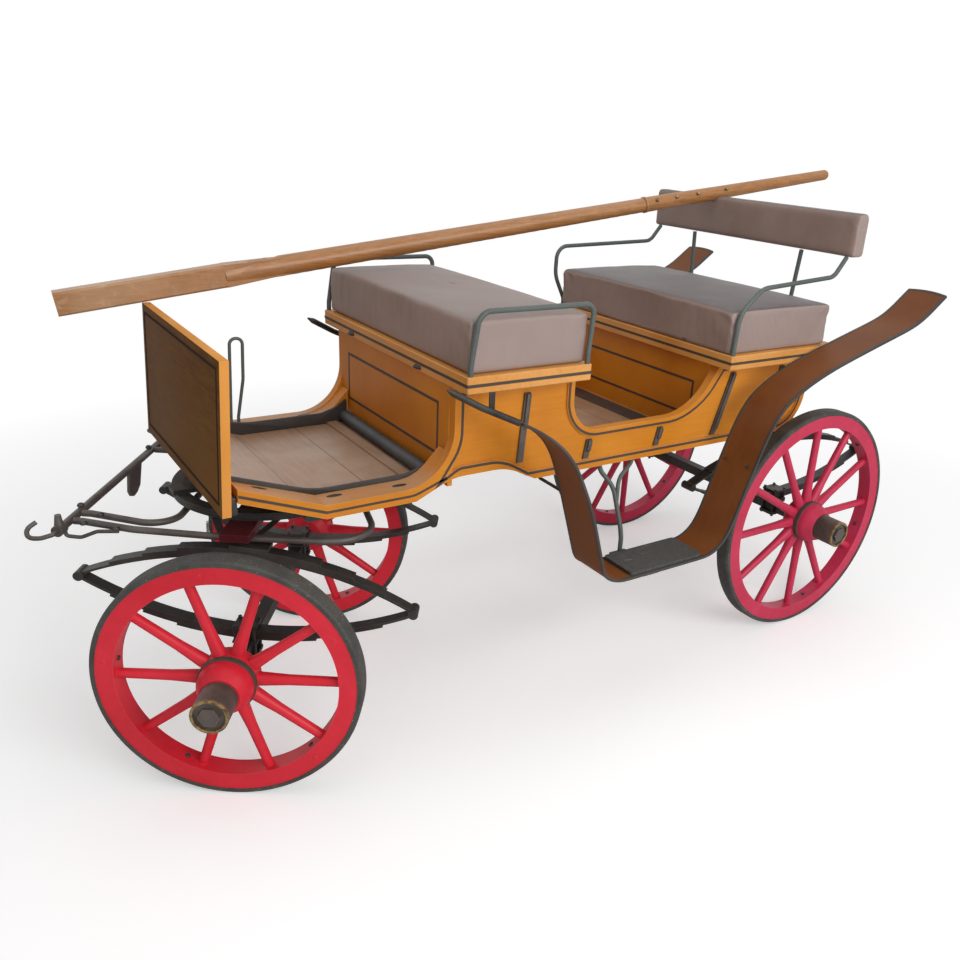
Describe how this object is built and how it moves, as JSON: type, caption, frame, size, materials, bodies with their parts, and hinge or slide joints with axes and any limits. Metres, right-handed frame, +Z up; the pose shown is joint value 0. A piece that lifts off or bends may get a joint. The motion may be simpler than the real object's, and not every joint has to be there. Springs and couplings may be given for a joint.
{
  "type": "horse-drawn carriage",
  "caption": "Open horse-drawn carriage with two bench seats, spoked wheels on elliptic springs, a turning fore-carriage, mudguards with steps and a stowed draught pole.",
  "frame": {"origin": "on the ground, under the middle of the whole length and width", "axes": "+X forward, towards the dashboard; +Y to the carriage's left; +Z up"},
  "size_m": [3.6723, 1.598, 1.938],
  "materials": {
    "ochre_paint": "aged ochre coach paint on wood, semi-gloss, striped in dark grey",
    "brown_paint": "brown varnished board with a dark border stripe",
    "floor_paint": "worn brown-grey floor paint",
    "pole_varnish": "old varnish, worn at the butt",
    "red_paint": "crimson coach paint, semi-gloss, lightly worn",
    "dark_red_paint": "dark crimson paint on the wooden bed",
    "tyre_rubber": "worn solid rubber, dusty and speckled",
    "hub_metal": "dark worn cap with a bare brass-coloured end",
    "black_iron": "black-painted forged iron, greasy in places",
    "rail_iron": "grey-green painted round iron",
    "mudguard_paint": "red-brown gloss paint with a dark bound edge",
    "step_rubber": "worn black tread pad",
    "seat_cover": "brown-mauve leathercloth",
    "roll_rubber": "dark grey rubber roll"
  },
  "bodies": {
    "carriage_body": {"arm_irons": "rail_iron", "backrest": "seat_cover", "backrest_irons": "rail_iron", "body_straps": "black_iron", "dashboard": "brown_paint", "draught_pole": "pole_varnish", "floor_boards": "floor_paint", "footwell_boards": "floor_paint", "front_cushion": "seat_cover", "front_seat_box": "ochre_paint", "front_seat_frame": "ochre_paint", "front_seat_rails": "rail_iron", "mudguard_hangers": "black_iron", "mudguard_left": "mudguard_paint", "mudguard_right": "mudguard_paint", "rear_axle": "black_iron", "rear_cushion": "seat_cover", "rear_seat_box": "ochre_paint", "rear_seat_frame": "ochre_paint", "rear_spring_clamps": "black_iron", "rear_springs": "black_iron", "side_panel_left": "ochre_paint", "side_panel_right": "ochre_paint", "step_irons": "rail_iron", "step_pads": "step_rubber", "toe_roll": "roll_rubber", "upper_turntable": "black_iron", "whip_loop": "rail_iron"},
    "fore_carriage": {"front_axle": "black_iron", "front_springs": "black_iron", "front_spring_clamps": "black_iron", "futchell_irons": "black_iron", "splinter_bar": "black_iron", "trace_hooks": "black_iron", "bolster": "dark_red_paint", "lower_turntable": "black_iron", "fore_ring_stays": "black_iron"},
    "front_left_running_wheel": {"front_left_hub": "hub_metal", "front_left_tyre": "tyre_rubber", "front_left_wheel": "red_paint"},
    "front_right_running_wheel": {"front_right_hub": "hub_metal", "front_right_tyre": "tyre_rubber", "front_right_wheel": "red_paint"},
    "rear_left_running_wheel": {"rear_left_hub": "hub_metal", "rear_left_tyre": "tyre_rubber", "rear_left_wheel": "red_paint"},
    "rear_right_running_wheel": {"rear_right_hub": "hub_metal", "rear_right_tyre": "tyre_rubber", "rear_right_wheel": "red_paint"}
  },
  "joints": [
    {"name": "steering", "type": "hinge", "parent": "carriage_body", "child": "fore_carriage", "pos_m": [1.0605, 0, 0.85], "axis": [0, 0, 1], "range_deg": [-11.15, 78.85]},
    {"name": "front_left_spin", "type": "hinge", "parent": "fore_carriage", "child": "front_left_running_wheel", "pos_m": [1.3696, 0.4609, 0.414], "axis": [0.557, 0.8305, 0], "continuous": true},
    {"name": "front_right_spin", "type": "hinge", "parent": "fore_carriage", "child": "front_right_running_wheel", "pos_m": [0.7514, -0.4609, 0.414], "axis": [0.557, 0.8305, 0], "continuous": true},
    {"name": "rear_left_spin", "type": "hinge", "parent": "carriage_body", "child": "rear_left_running_wheel", "pos_m": [-1.1265, 0.596, 0.5], "axis": [0, 1, 0], "continuous": true},
    {"name": "rear_right_spin", "type": "hinge", "parent": "carriage_body", "child": "rear_right_running_wheel", "pos_m": [-1.1265, -0.596, 0.5], "axis": [0, 1, 0], "continuous": true}
  ]
}
